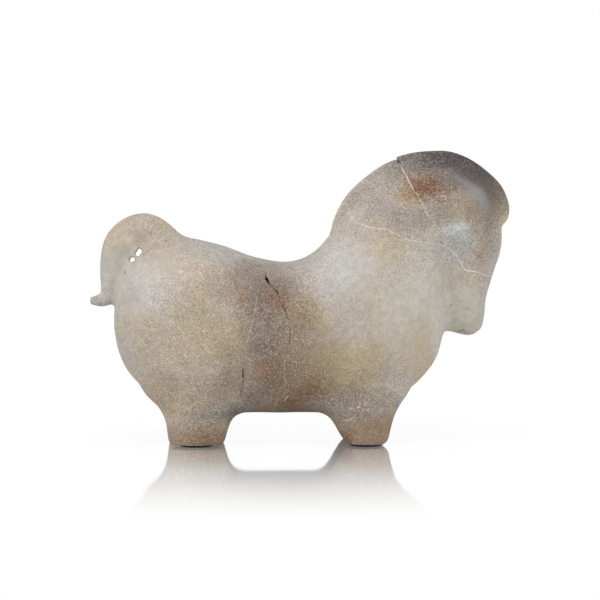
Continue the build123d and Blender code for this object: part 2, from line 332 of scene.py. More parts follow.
# Sizes are in mm. An edge is a pair: where in a noise, or how far from a line, a change starts and ends
CLOUD_SIZE = 38.0
CLOUD_EDGE = (0.4, 0.6)
# How far the edge of a stain, or of painted shade or highlight, wanders, how long its waves are, and the
# shares of its reach between which it fades
OVAL_WANDER = 17.0
OVAL_WAVE = 17.0
OVAL_EDGE = (0.15, 1.25)
# Stains, and some painted shade, light and highlights: place along X and Z, reach along X and Z, colour and
# strength, with the later ones on top
STAINS_AND_PAINTED_LIGHT = [
    # Tail, rump and hind flank
    (-118, 150, 30, 14, "#b1a396", 0.55),
    (-122, 118, 26, 30, "#b7b4ad", 0.75),
    (-104, 112, 20, 26, "#b8b4b3", 0.60),
    (-84, 124, 28, 20, "#b7ac9f", 0.65),
    (-66, 82, 36, 34, "#a39171", 0.75),
    (-90, 68, 30, 26, "#aa9d8d", 0.65),
    (-85, 40, 45, 20, "#a29079", 0.60),
    (-66, 34, 22, 16, "#7f705c", 0.55),
    (-56, 116, 20, 16, "#9a8875", 0.65),
    # Waist and belly; the lower ones, darker towards the underside, are partly painted shade
    (-26, 112, 30, 20, "#726156", 0.85),
    (-26, 82, 22, 48, "#716257", 0.80),
    (-22, 54, 30, 30, "#685442", 0.85),
    (-4, 90, 20, 28, "#816b4e", 0.75),
    (8, 54, 32, 36, "#7a6548", 0.80),
    (-20, 104, 12, 8, "#764f3a", 0.60),
    (-41, 108, 6, 4, "#8a6448", 0.40),
    (-28, 56, 6, 7, "#8f6a48", 0.45),
    (-8, 30, 14, 13, "#704524", 0.90),
    (12, 38, 22, 14, "#6b5239", 0.75),
    (-53, 43, 15, 19, "#6f604d", 0.60),
    # Painted shade: a broad darker band along the underside of the belly, where little light reaches
    (-6, 22, 70, 15, "#766653", 0.75),
    # Saddle, shoulder and chest
    (14, 118, 24, 22, "#a39b94", 0.60),
    (30, 128, 26, 32, "#bab6b3", 0.75),
    (62, 98, 34, 40, "#aeaa9e", 0.75),
    (88, 112, 22, 30, "#b3b1a8", 0.75),
    (40, 58, 32, 28, "#9c8b6c", 0.65),
    (80, 64, 20, 24, "#b0a28c", 0.60),
    # Face, neck and mane
    (116, 95, 18, 26, "#b1afa2", 0.85),
    (107, 130, 12, 16, "#a39f95", 0.60),
    (126, 142, 13, 26, "#968675", 0.80),
    # Painted shade: bluish grey over the lower half of the brow mound
    (112, 145, 16, 16, "#989c9c", 0.80),
    # Painted shade in the crease above the brow mound
    (100, 160, 20, 7, "#8a8883", 0.65),
    (103, 171, 28, 11, "#8a7b6b", 0.75),
    (82, 160, 18, 12, "#857a6d", 0.65),
    (54, 170, 28, 22, "#9c938d", 0.75),
    (89, 184, 20, 12, "#6c4323", 0.95),
    (77, 177, 10, 8, "#94713f", 0.50),
    (113, 188, 20, 12, "#604c3b", 0.90),
    (135, 172, 13, 24, "#6c5f52", 0.80),
    (122, 165, 9, 18, "#776b5f", 0.65),
    (137, 147, 8, 16, "#85786a", 0.60),
    # Legs and the insides of their fillets, darker than the flanks above: partly the clay's own colour,
    # partly painted shade
    (-47, 24, 9, 8, "#5b564d", 0.85),
    (-62, 24, 20, 9, "#7b736a", 0.55),
    (-75, 6, 36, 16, "#7f6246", 0.80),
    (50, 10, 34, 22, "#82684a", 0.85),
    (26, 30, 20, 9, "#7f7470", 0.70),
    (52, 33, 28, 9, "#75685a", 0.60),
    (36, 38, 14, 10, "#6b5c4c", 0.50),
    # Small ones over the rest, all round
    (40, 97, 18, 18, "#9d9585", 0.50),
    (34, 163, 12, 14, "#b5b0aa", 0.60),
    (68, 160, 13, 14, "#857b72", 0.60),
    (-38, 126, 14, 8, "#7a6c60", 0.55),
    (-37, 56, 8, 14, "#928579", 0.50),
    (-52, 67, 10, 20, "#7d6f5c", 0.50),
    # Painted shade on the rear side of the fore leg, at its foot
    (31, 5, 8, 10, "#5e4934", 0.70),
    # Painted light: lightens the shaded valley beside the gap in the tail's loop
    (-121, 143, 9, 7, "#cbbfae", 0.70),
    (62, 20, 8, 8, "#8b683f", 0.40),
    (30, 9, 7, 6, "#86593a", 0.50),
    (-36, 36, 12, 12, "#5f5145", 0.65),
    (-100, 36, 20, 14, "#8a7c68", 0.55),
    (-66, 4, 14, 14, "#6d543c", 0.55),
    (-120, 108, 9, 14, "#9c968b", 0.50),
    # Painted light: lightens the crease where the muzzle meets the chest
    (100, 82, 12, 26, "#b9b7b1", 0.75),
    # Painted highlight on the top of the brow mound
    (110, 154, 12, 5, "#b7bdc1", 0.60),
    (127, 135, 5, 5, "#7a6048", 0.45),
]
# Ash blots, and how much they lighten or darken
BLOT_SIZE = 5.0
BLOT_EDGE = (0.3, 0.7)
BLOT_TONE = 0.12
# Comb streaks of the mane, and how far from the crest they fade
STREAK_WIDTH = 2.4
STREAK_EDGE = (0.3, 0.7)
STREAK_TONE = 0.16
COMBED = (14.0, 24.0)
# Where the slip was wiped smooth, so that its grains show less: place along X and Z, reach along X and Z,
# and share, which is below 0 where the slip lies thick
SMOOTH_PLACES = [
    (116, 92, 24, 34, 1.0), (88, 92, 34, 44, 0.75), (-126, 128, 26, 34, 0.9), (-100, 132, 16, 14, 0.85),
    (-120, 96, 12, 24, 0.6), (64, 84, 36, 32, 0.65), (20, 78, 26, 34, 0.45), (42, 126, 34, 28, 0.6),
    (130, 184, 22, 22, 0.6), (92, 180, 26, 18, -0.5), (-22, 84, 24, 36, -0.25), (-75, 16, 30, 20, -0.3),
    (40, 30, 24, 8, -0.25), (45, 8, 28, 18, 0.35),
]
# Where iron in the clay has burnt through in specks: place and reach along X and Z
IRON_PLACES = [(-24, 98, 24, 20), (6, 97, 14, 14), (-8, 36, 24, 14), (88, 183, 26, 14)]
IRON_SPECK = 2.6
IRON_EDGE = (0.52, 0.66)
IRON_SHARE = 0.6
IRON = "#5e3a28"
# A grain and its gap, which are finer on the figure and are drawn as coarse as they need to show, how far
# the grains stand out, and what part of its height a noise mostly uses
SLIP_GRAIN = 0.95
SLIP_RELIEF = 0.15
NOISE_SWING = 0.25
# How much lighter or darker than the clay round them grains and gaps are
GRAIN_EDGE = (0.34, 0.66)
GRAIN_TONE = 0.31
# The patches in which the slip lies thick or thin, and how much of it the thinnest hold
PATCH_SIZE = 9.0
PATCH_EDGE = (0.3, 0.65)
PATCH_THIN = 0.55
# The thickest grains
THICK_EDGE = (0.52, 0.68)
THICK_SHARE = 0.28
SLIP_PALE = "#d2cdc5"
# Where the mane's charcoal lies, and its layers: how far from the crest each fades, its colour and its share
CHARRED_PLACE = (116, 200, 62, 44)
CHARRED_LAYERS = [((10.0, 18.5), "#4d4544", 1.0), ((0.5, 4.5), "#362e2d", 0.40)]
# The painted highlight, a strip of lilac sheen along the mane's lower edge: its place, share, colour, and
# how far from the crest its two sides are
LILAC_PLACE = (122, 179, 30, 21)
LILAC_SHARE = 0.70
LILAC_HIGHLIGHT = "#85848b"
LILAC_SIDES = [(12.0, 16.0), (23.0, 17.0)]
PUTTY = "#e4dfd5"
# Cracks that show as a fine line, dark, or pale with putty: which crack, place along X and Z, reach along X
# and
# Z, colour and strength. Round the waist's gapes the dark lines are painted shade
HAIRLINES = [
    ("waist_front", -22, 116, 6, 13, "#332925", 0.9), ("waist_front", -14, 100, 6, 16, "#463a33", 0.7),
    ("waist_front", -9, 80, 5, 24, "#4c3e35", 0.75), ("waist_front", -13, 56, 6, 20, "#cfc6b8", 0.4),
    ("waist_front", -18, 30, 8, 14, "#cfc6b8", 0.4), ("waist_rear", -36, 90, 9, 26, "#c9c1b6", 0.45),
    ("waist_rear", -43, 48, 5, 13, "#352b27", 0.9), ("waist_rear", -46, 26, 8, 14, "#5f564d", 0.4),
    ("neck", 54, 156, 24, 12, PUTTY, 0.65), ("neck", 36, 165, 8, 14, PUTTY, 0.2),
    ("neck", 84, 146, 26, 12, PUTTY, 0.35), ("neck", 108, 137, 12, 12, PUTTY, 0.55),
    ("neck", 124, 126, 18, 16, PUTTY, 0.85), ("crown", 76, 190, 14, 20, PUTTY, 0.7),
    ("crown", 90, 168, 12, 16, PUTTY, 0.4),
]
# Half a fine line's width, and the shares of it at which the line starts to fade and is gone
HAIRLINE = 0.42
HAIRLINE_EDGE = (0.4, 1.4)
# Small marks on the side that shows, as lines: dark ones along the mouth, at the pits and as scratches, a
# painted shade in the mane's notch, and pale nicks and chips
MARKS = {
    "dark_mark": [
        [(113.5, 79.1), (117.1, 81.2)], [(117.4, 79.3), (118.4, 78.8)], [(112.2, 101.3), (112.7, 101.5)],
        [(119.0, 95.4), (119.5, 95.4)], [(106.4, 97.0), (107.4, 99.6)], [(98.7, 143.4), (99.1, 143.4)],
        [(-111.2, 135.6), (-110.8, 136.0)], [(-109.0, 137.2), (-108.4, 138.0)],
        [(-106.9, 139.4), (-106.5, 139.6)], [(-96.0, 144.6), (-95.2, 145.4)],
        [(-125.6, 122.0), (-124.4, 123.4)], [(-134.4, 144.2), (-134.0, 144.4)],
        # Painted shade in the gap at the mane's notch
        [(70.0, 203.8), (71.6, 199.5)],
    ],
    "pale_mark": [
        [(34.9, 21.3), (33.9, 19.9), (31.7, 19.0), (29.2, 19.5)], [(-12.3, 33.6), (-9.9, 36.2)],
        [(33.0, 27.8), (35.0, 27.9)], [(38.0, 28.5), (40.4, 29.1)], [(43.4, 30.8), (46.0, 32.6)],
        [(45.2, 27.0), (46.0, 27.0)], [(53.4, 25.6), (56.8, 27.3)], [(33.9, 48.0), (34.5, 48.0)],
        [(-45.2, 66.5), (-44.8, 66.5)], [(-21.7, 68.1), (-21.3, 68.1)], [(-11.7, 75.2), (-11.3, 75.2)],
    ],
}
MARK_SHADES = {"dark_mark": ("#4b423b", 0.65), "pale_mark": ("#e4dfd6", 0.55)}
# How far from its line a mark starts to fade and is gone
MARK_EDGE = (0.24, 0.8)
# How far apart the places are where rubbing has broken the fine lines, and how much of a line they leave
WORN_SIZE = 4.0
WORN_EDGE = (0.38, 0.55)
WORN_LEFT = 0.35


def falloff(tree, place, x, z, reach_x, reach_z, strength):
    """Strength at a place of the side view, fading to nothing at its reach."""
    away = add(tree, "ShaderNodeVectorMath", {0: place, 1: (x, 0, z)}, operation="SUBTRACT")
    shrink = (1 / reach_x, 0, 1 / reach_z)
    scaled = add(tree, "ShaderNodeVectorMath", {0: away, 1: shrink}, operation="MULTIPLY")
    far = add(tree, "ShaderNodeVectorMath", {0: scaled}, output="Value", operation="LENGTH")
    fade = {0: far, 1: OVAL_EDGE[0], 2: OVAL_EDGE[1], 3: strength, 4: 0.0}
    return add(tree, "ShaderNodeMapRange", fade, interpolation_type="SMOOTHSTEP")


clay = bpy.data.materials.new("wood_fired_stoneware")
clay.use_nodes = True
tree = clay.node_tree
shader = tree.nodes["Principled BSDF"]
spot = add(tree, "ShaderNodeTexCoord", {}, output="Object")
place = add(tree, "ShaderNodeVectorMath", {0: spot, "Scale": 1000.0}, operation="SCALE")
# The body colour drifts between a warm and a cool grey, as the flame left it
cloud = add(tree, "ShaderNodeTexNoise", {"Vector": place, "Scale": 1 / CLOUD_SIZE, "Detail": 4.0})
cloud = add(tree, "ShaderNodeMapRange", {0: cloud, 1: CLOUD_EDGE[0], 2: CLOUD_EDGE[1]})
ground = {0: cloud, 6: linear(CLAY_WARM), 7: linear(CLAY_COOL)}
colour = add(tree, "ShaderNodeMix", ground, output=2, data_type="RGBA")
# Each stain is a soft oval whose edge a noise pushes about, so it looks soaked in; the painted shade, light
# and highlights among them are made the same way
drift = {"Vector": place, "Scale": 1 / OVAL_WAVE, "Detail": 3.0, "Roughness": 0.6}
drift = add(tree, "ShaderNodeTexNoise", drift, output=1)
drift = add(tree, "ShaderNodeVectorMath", {0: drift, 1: (0.5, 0.5, 0.5)}, operation="SUBTRACT")
drift = add(tree, "ShaderNodeVectorMath", {0: drift, "Scale": OVAL_WANDER}, operation="SCALE")
wandered = add(tree, "ShaderNodeVectorMath", {0: place, 1: drift}, operation="ADD")
for x, z, reach_x, reach_z, shade, strength in STAINS_AND_PAINTED_LIGHT:
    share = falloff(tree, wandered, x, z, reach_x, reach_z, strength)
    colour = add(tree, "ShaderNodeMix", {0: share, 6: colour, 7: linear(shade)}, output=2, data_type="RGBA")
# Ash settled unevenly, in blots a few millimetres wide
blots = {"Vector": place, "Scale": 1 / BLOT_SIZE, "Detail": 3.0, "Roughness": 0.65}
blots = {0: add(tree, "ShaderNodeTexNoise", blots), 1: BLOT_EDGE[0], 2: BLOT_EDGE[1]}
blots = add(tree, "ShaderNodeMapRange", blots | {3: 1 - BLOT_TONE, 4: 1 + BLOT_TONE})
colour = add(tree, "ShaderNodeVectorMath", {0: colour, "Scale": blots}, operation="SCALE")
# Iron specks, thick in a few places
specks = {"Vector": place, "Scale": 1 / IRON_SPECK, "Detail": 2.0, "Roughness": 0.6}
specks = {0: add(tree, "ShaderNodeTexNoise", specks), 1: IRON_EDGE[0], 2: IRON_EDGE[1]}
specks = add(tree, "ShaderNodeMapRange", specks | {3: 0.0, 4: IRON_SHARE})
for x, z, reach_x, reach_z in IRON_PLACES:
    share = falloff(tree, wandered, x, z, reach_x, reach_z, 1.0)
    share = add(tree, "ShaderNodeMath", {0: share, 1: specks}, operation="MULTIPLY")
    colour = add(tree, "ShaderNodeMix", {0: share, 6: colour, 7: linear(IRON)}, output=2, data_type="RGBA")
# The mane was combed along its length, which left faint streaks that follow the crest
crest = add(tree, "ShaderNodeAttribute", {}, output="Fac", attribute_name="crest")
streaks = add(tree, "ShaderNodeMath", {0: crest, 1: 1 / STREAK_WIDTH}, operation="MULTIPLY")
streaks = add(tree, "ShaderNodeTexNoise", {"W": streaks, "Detail": 2.0}, noise_dimensions="1D")
streaks = {0: streaks, 1: STREAK_EDGE[0], 2: STREAK_EDGE[1], 3: -STREAK_TONE, 4: STREAK_TONE}
streaks = add(tree, "ShaderNodeMapRange", streaks)
combed = add(tree, "ShaderNodeMapRange", {0: crest, 1: COMBED[0], 2: COMBED[1], 3: 1.0, 4: 0.0})
streaks = add(tree, "ShaderNodeMath", {0: streaks, 1: combed, 2: 1.0}, operation="MULTIPLY_ADD")
colour = add(tree, "ShaderNodeVectorMath", {0: colour, "Scale": streaks}, operation="SCALE")
# Kiln charcoal along the top of the front mane, sootiest at its very edge
charred = falloff(tree, wandered, *CHARRED_PLACE, 1.0)
for (near, far), shade, most in CHARRED_LAYERS:
    layer = add(tree, "ShaderNodeMapRange", {0: crest, 1: near, 2: far, 3: most, 4: 0.0})
    share = add(tree, "ShaderNodeMath", {0: layer, 1: charred}, operation="MULTIPLY")
    colour = add(tree, "ShaderNodeMix", {0: share, 6: colour, 7: linear(shade)}, output=2, data_type="RGBA")
# The slip's grains: pale worm-like runs with darker clay between them, lying thick and thin in patches
grain = {"Vector": place, "Scale": 1 / SLIP_GRAIN, "Detail": 1.5, "Roughness": 0.5, "Distortion": 0.7}
grain = add(tree, "ShaderNodeTexNoise", grain)
patches = {"Vector": place, "Scale": 1 / PATCH_SIZE, "Detail": 3.0, "Roughness": 0.6}
patches = {0: add(tree, "ShaderNodeTexNoise", patches), 1: PATCH_EDGE[0], 2: PATCH_EDGE[1]}
amount = add(tree, "ShaderNodeMapRange", patches | {3: PATCH_THIN, 4: 1.0})
for x, z, reach_x, reach_z, strength in SMOOTH_PLACES:
    wiped = falloff(tree, wandered, x, z, reach_x, reach_z, strength)
    kept = add(tree, "ShaderNodeMath", {0: 1.0, 1: wiped}, operation="SUBTRACT")
    amount = add(tree, "ShaderNodeMath", {0: amount, 1: kept}, operation="MULTIPLY")
# Every grain is lighter than the clay round it by a share, and the thickest take the slip's own colour
tone = {0: grain, 1: GRAIN_EDGE[0], 2: GRAIN_EDGE[1], 3: -GRAIN_TONE, 4: GRAIN_TONE}
tone = add(tree, "ShaderNodeMapRange", tone)
tone = add(tree, "ShaderNodeMath", {0: tone, 1: amount, 2: 1.0}, operation="MULTIPLY_ADD")
colour = add(tree, "ShaderNodeVectorMath", {0: colour, "Scale": tone}, operation="SCALE")
thick = {0: grain, 1: THICK_EDGE[0], 2: THICK_EDGE[1], 3: 0.0, 4: THICK_SHARE}
thick = add(tree, "ShaderNodeMapRange", thick)
thick = add(tree, "ShaderNodeMath", {0: thick, 1: amount}, operation="MULTIPLY")
colour = add(tree, "ShaderNodeMix", {0: thick, 6: colour, 7: linear(SLIP_PALE)}, output=2, data_type="RGBA")
# Painted highlight: the strip of lilac sheen below the charcoal lies over the slip, so it is smooth
lilac = falloff(tree, wandered, *LILAC_PLACE, LILAC_SHARE)
for near, far in LILAC_SIDES:
    side = add(tree, "ShaderNodeMapRange", {0: crest, 1: near, 2: far})
    lilac = add(tree, "ShaderNodeMath", {0: lilac, 1: side}, operation="MULTIPLY")
colour = add(tree, "ShaderNodeMix", {0: lilac, 6: colour, 7: linear(LILAC_HIGHLIGHT)}, output=2, data_type="RGBA")
# Fine lines along the cracks, dark ones and pale old filler, drawn from the distance to each crack's line;
# round the waist's gapes the dark ones are painted shade
worn = add(tree, "ShaderNodeTexNoise", {"Vector": place, "Scale": 1 / WORN_SIZE, "Detail": 2.0})
worn = add(tree, "ShaderNodeMapRange", {0: worn, 1: WORN_EDGE[0], 2: WORN_EDGE[1], 3: WORN_LEFT, 4: 1.0})
near, far = HAIRLINE * HAIRLINE_EDGE[0], HAIRLINE * HAIRLINE_EDGE[1]
for crack, x, z, reach_x, reach_z, shade, strength in HAIRLINES:
    signed = add(tree, "ShaderNodeAttribute", {}, output="Fac", attribute_name=crack)
    away = add(tree, "ShaderNodeMath", {0: signed}, operation="ABSOLUTE")
    share = add(tree, "ShaderNodeMapRange", {0: away, 1: near, 2: far, 3: 1.0, 4: 0.0})
    reach = falloff(tree, wandered, x, z, reach_x, reach_z, strength)
    share = add(tree, "ShaderNodeMath", {0: share, 1: reach}, operation="MULTIPLY")
    share = add(tree, "ShaderNodeMath", {0: share, 1: worn}, operation="MULTIPLY")
    colour = add(tree, "ShaderNodeMix", {0: share, 6: colour, 7: linear(shade)}, output=2, data_type="RGBA")
for mark, (shade, strength) in MARK_SHADES.items():
    away = add(tree, "ShaderNodeAttribute", {}, output="Fac", attribute_name=mark)
    share = {0: away, 1: MARK_EDGE[0], 2: MARK_EDGE[1], 3: strength, 4: 0.0}
    share = add(tree, "ShaderNodeMapRange", share)
    colour = add(tree, "ShaderNodeMix", {0: share, 6: colour, 7: linear(shade)}, output=2, data_type="RGBA")
tree.links.new(colour, shader.inputs["Base Color"])
shader.inputs["Roughness"].default_value = CLAY_ROUGHNESS
rise = add(tree, "ShaderNodeMath", {0: grain, 1: amount}, operation="MULTIPLY")
bump = {"Height": rise, "Distance": SLIP_RELIEF / 1000 / NOISE_SWING}
tree.links.new(add(tree, "ShaderNodeBump", bump), shader.inputs["Normal"])

# The barrel, neck and head as they are now: the hollow form broke across the waist, the neck and the crown
# into six pieces. The waist's broken edges are pressed shut but for a few short gapes.
OVERRUN = 20.0
# The lines in the side view that the form parts along, run on past it at their ends: places in LENGTH and
# heights in HEIGHT. The last is no crack, but the seam where the face was luted to the chest
WAIST_REAR = [
    (-0.100, 0.760), (-0.098, 0.595), (-0.104, 0.522), (-0.117, 0.422), (-0.128, 0.381), (-0.132, 0.326),
    (-0.143, 0.306), (-0.140, 0.271), (-0.144, 0.186), (-0.156, 0.141), (-0.165, 0.050),
]
WAIST_FRONT = [
    (-0.090, 0.760), (-0.087, 0.584), (-0.082, 0.563), (-0.076, 0.550), (-0.066, 0.531), (-0.057, 0.515),
    (-0.054, 0.496), (-0.038, 0.453), (-0.031, 0.402), (-0.030, 0.350), (-0.042, 0.271), (-0.042, 0.186),
    (-0.057, 0.155), (-0.070, 0.050),
]
NECK_SEAM = [
    (0.102, 0.860), (0.111, 0.808), (0.123, 0.763), (0.156, 0.739), (0.197, 0.732), (0.221, 0.715),
    (0.254, 0.694), (0.302, 0.684), (0.326, 0.680), (0.352, 0.663), (0.369, 0.636), (0.390, 0.591),
    (0.414, 0.586), (0.450, 0.567), (0.520, 0.530),
]
CROWN_SEAM = [
    (0.214, 1.060), (0.233, 0.962), (0.254, 0.904), (0.264, 0.866), (0.278, 0.838), (0.296, 0.780),
    (0.314, 0.746), (0.326, 0.660),
]
FACE_SEAM = [
    (0.326, 0.700), (0.325, 0.625), (0.331, 0.588), (0.347, 0.540), (0.358, 0.488), (0.357, 0.433),
    (0.350, 0.378), (0.346, 0.280),
]
# Each line, the seed of its unevenness, and how uneven it is in mm
CRACKS = {
    "waist_rear": (WAIST_REAR, 11, 0.5),
    "waist_front": (WAIST_FRONT, 12, 0.6),
    "neck": (NECK_SEAM, 13, 0.3),
    "crown": (CROWN_SEAM, 14, 0.3),
    "face": (FACE_SEAM, 15, 0.1),
}


def ragged(shares, seed, size):
    """A crack's line in the side view, broken into short uneven steps."""
    line = places(finer(shares, LINE_STEPS))
    draw = np.random.default_rng(seed)
    wander = draw.normal(0, size, len(line))
    wander[1:-1] = (wander[:-2] + 2 * wander[1:-1] + wander[2:]) / 4
    along = np.gradient(line, axis=0)
    across = np.stack([along[:, 1], -along[:, 0]], 1) / np.linalg.norm(along, axis=1)[:, None]
    return line + across * wander[:, None]


def behind(line):
    """Signed distance to the side view's part to the rear of a line that runs downwards."""
    top = HEIGHT + OVERRUN
    rear = -LENGTH
    start, finish = line[0], line[-1]
    edge = [(rear, top), (start[0], top)] + list(line) + [(finish[0], -OVERRUN), (rear, -OVERRUN)]
    return to_area(edge)[:, None, :]


def above(line):
    """Signed distance to the side view's part above a line that runs forwards."""
    top = HEIGHT + OVERRUN
    start, finish = line[0], line[-1]
    return to_area([(start[0], top)] + list(line) + [(LENGTH, finish[1]), (LENGTH, top)])[:, None, :]


lines = {crack: ragged(*drawn) for crack, drawn in CRACKS.items()}
rear_of_waist = behind(lines["waist_rear"])
rear_of_front = behind(lines["waist_front"])
rear_of_crown = behind(lines["crown"])
rear_of_face = behind(lines["face"])
over_neck = above(lines["neck"])
over_crest = to_line(places(finer(CREST_ROWS, LINE_STEPS)))[:, None, :]
# The marks are on the right flank only
from_mark = {}
for mark, drawn in MARKS.items():
    distance = np.min([to_line(line) for line in drawn], axis=0)
    from_mark[mark] = np.where(GRID_Y < 0, distance[:, None, :], BAND)

# Where the waist cracks gape: place along X and Z, reach along X and Z, and width in mm. Where they are
# shut each piece runs past the line by SHUT, and one of the two lies LAP lower, so that no edge shows.
GAPES = [
    (-24.4, 117.0, 4.8, 9.6, 1.15), (-18.0, 109.5, 4.8, 7.2, 0.6), (-12.5, 98.0, 4.8, 8.0, 0.3),
    (-43.0, 51.0, 4.8, 12.0, 1.2),
]
SHUT = 1.0
LAP = 0.02
# How far a broken edge has crumbled round
EDGE = 0.25
half_gap = np.full((SHAPE[0], SHAPE[2]), -SHUT, np.float32)
for x, z, reach_x, reach_z, width in GAPES:
    opening = (SHUT + width / 2) * hump((x, z), (reach_x, reach_z)) ** 2
    half_gap = np.maximum(half_gap, opening - SHUT)
# The gapes go through the wall only, into the dark
WALL = 7.0
WALL_EASE = 2.0
through = np.clip(1 + (body + WALL) / WALL_EASE, 0, 1)
half_gap = (half_gap[:, None, :] + SHUT) * through - SHUT
FILLER_WIDTH = 1.2
# How far each piece runs past the middle of a filled crack, under the filler
UNDER_FILLER = 0.35
head = over_neck - UNDER_FILLER
lower = -over_neck - UNDER_FILLER
# What each piece keeps of the form, as signed distances
AREAS = {
    "hind_barrel": rear_of_waist + half_gap,
    "waist_band": np.maximum(half_gap - rear_of_waist, rear_of_front + half_gap),
    "fore_barrel": np.maximum(np.maximum(lower, rear_of_face - SHUT), half_gap - rear_of_front),
    "muzzle": np.maximum(lower, -rear_of_face - SHUT),
    "nape": np.maximum(head, rear_of_crown - UNDER_FILLER),
    "crown": np.maximum(head, -rear_of_crown - UNDER_FILLER),
}
LAPPED = {"waist_band": LAP, "muzzle": LAP, "crown": LAP}
# Cells kept round a piece when it is cut out of the grid
CELLS_ROUND = 3


def sampled(values, points):
    """A field read between its places, at points in mm."""
    limits = np.array(values.shape) - 1
    cell = points / VOXEL - np.array(LOW)
    whole = np.floor(cell).astype(int)
    part = cell - whole
    result = np.zeros(len(points), np.float32)
    for step in np.ndindex(2, 2, 2):
        share = np.abs(1 - np.array(step) - part).prod(1)
        result += share * values[tuple(np.clip(whole + step, 0, limits).T)]
    return result


# The skin that all the pieces make together, and each piece's mesh and points
skin = np.full(SHAPE, BAND, np.float32)
made = {}


def make_piece(name, values, material):
    """A field's zero surface as a smooth mesh that stands for the CAD node of that name."""
    np.minimum(skin, values, out=skin)
    inside = np.argwhere(values < VOXEL)
    low = np.maximum(inside.min(0) - CELLS_ROUND, 0)
    high = np.minimum(inside.max(0) + 1 + CELLS_ROUND, SHAPE)
    part = np.ascontiguousarray(values[low[0] : high[0], low[1] : high[1], low[2] : high[2]], np.float32)
    grid = vdb.FloatGrid(background=BAND)
    grid.copyFromArray(part)
    grid.transform = vdb.createLinearTransform(voxelSize=VOXEL)
    points, triangles, quads = grid.convertToPolygons(isovalue=0.0, adaptivity=0.0)
    points = points + (np.array(LOW) + low) * VOXEL
    mesh = bpy.data.meshes.new(name)
    mesh.from_pydata((points / 1000).tolist(), [], quads.tolist() + triangles.tolist())
    mesh.shade_smooth()
    # Distances that the materials read
    drawn_from = {"waist_rear": rear_of_waist, "waist_front": rear_of_front, "crest": over_crest}
    drawn_from |= {"neck": over_neck, "crown": rear_of_crown, "depth": -body} | from_mark
    for line, distances in drawn_from.items():
        mesh.attributes.new(line, "FLOAT", "POINT").data.foreach_set("value", sampled(distances, points))
    mesh.materials.append(material)
    piece = bpy.data.objects.new(f"clay_{name}", mesh)
    bpy.context.scene.collection.objects.link(piece)
    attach(piece, "root")
    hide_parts(name)
    made[name] = (mesh, points)


for name, side_view in AREAS.items():
    make_piece(name, common(body + LAPPED.get(name, 0), side_view, EDGE), clay)

# The fillers: pale lime putty, pressed into the neck and crown cracks and wiped level, so that it stands a
# hair proud. Clay dust has dulled its surface but for the thin line drawn with the other cracks.
FILLER_RISE = 0.08
# Top of the filler in the notch of the mane; above it the crack is open
FILLER_TOP = 200.5
# How deep under the skin the dust ends, and how close the sand grains in the lime are
DUST_DEPTH = (0.3, 0.9)
SAND_PER_MM = 0.9
PUTTY_SHADE = "#d8d1c3"
putty = clay.copy()
putty.name = "lime_putty_filler"
tree = putty.node_tree
shader = tree.nodes["Principled BSDF"]
# The clay's colour, painted shade and highlights included, stands for the dust on the filler
dust_and_painted_light = shader.inputs["Base Color"].links[0].from_socket
# Lime set with fine sand gives a chalky, faintly mottled white under the dust
spot = add(tree, "ShaderNodeTexCoord", {}, output="Object")
sand = add(tree, "ShaderNodeTexNoise", {"Vector": spot, "Scale": 1000 * SAND_PER_MM, "Detail": 2.0})
chalk = {0: sand, 6: linear(PUTTY_SHADE), 7: linear(PUTTY)}
chalk = add(tree, "ShaderNodeMix", chalk, output=2, data_type="RGBA")
depth = add(tree, "ShaderNodeAttribute", {}, output="Fac", attribute_name="depth")
under = add(tree, "ShaderNodeMapRange", {0: depth, 1: DUST_DEPTH[0], 2: DUST_DEPTH[1]})
colour = add(tree, "ShaderNodeMix", {0: under, 6: dust_and_painted_light, 7: chalk}, output=2, data_type="RGBA")
tree.links.new(colour, shader.inputs["Base Color"])

MANE_THICKNESS = 14.5
mane_section = np.maximum(strip(CREST_ROWS, 0)[:, None, :], np.abs(GRID_Y) - MANE_THICKNESS / 2)
wiped_level = np.minimum(body, mane_section) - FILLER_RISE
crown_filler = np.maximum(wiped_level, np.abs(rear_of_crown) - FILLER_WIDTH / 2)
crown_filler = np.maximum(crown_filler, over_neck + FILLER_WIDTH / 2)
make_piece("crown_seam_filler", np.maximum(crown_filler, GRID_Z - FILLER_TOP), putty)
make_piece("neck_seam_filler", np.maximum(body - FILLER_RISE, np.abs(over_neck) - FILLER_WIDTH / 2), putty)

# The mane: a flat-topped strip of clay set along the crest of the neck and down the forehead. It broke at a
# notch, and its front part stands a little higher.
MANE_EDGE = 2.4
MANE_STEP = 1.5
MANE_FILLET = 2.4
# How far each part of the mane runs on under the filler at the notch, and how round its broken edge is
NOTCH_EDGE = 0.3
# How far a luted piece is kept below the body's skin
TUCK = 1.0


def added(own, reach):
    """The part of a luted piece that shows, with its fillet, down to a little way inside the body."""
    both = joined(body, own, reach)
    return np.maximum(np.maximum(both, -(body + TUCK)), own - reach)


rear_strip = strip(CREST_ROWS[: CREST_ROWS_BEHIND_NOTCH + 1], 0)[:, None, :]
front_strip = strip(CREST_ROWS[CREST_ROWS_BEHIND_NOTCH - 1 :], MANE_STEP)[:, None, :]
across = np.abs(GRID_Y) - MANE_THICKNESS / 2
notch = FILLER_WIDTH / 2 - NOTCH_EDGE
mane_rear = common(common(rear_strip, across, MANE_EDGE), rear_of_crown + notch, NOTCH_EDGE)
mane_front = common(common(front_strip, across, MANE_EDGE), notch - rear_of_crown, NOTCH_EDGE)
make_piece("mane_rear", added(mane_rear, MANE_FILLET), clay)
make_piece("mane_front", added(mane_front, MANE_FILLET), clay)

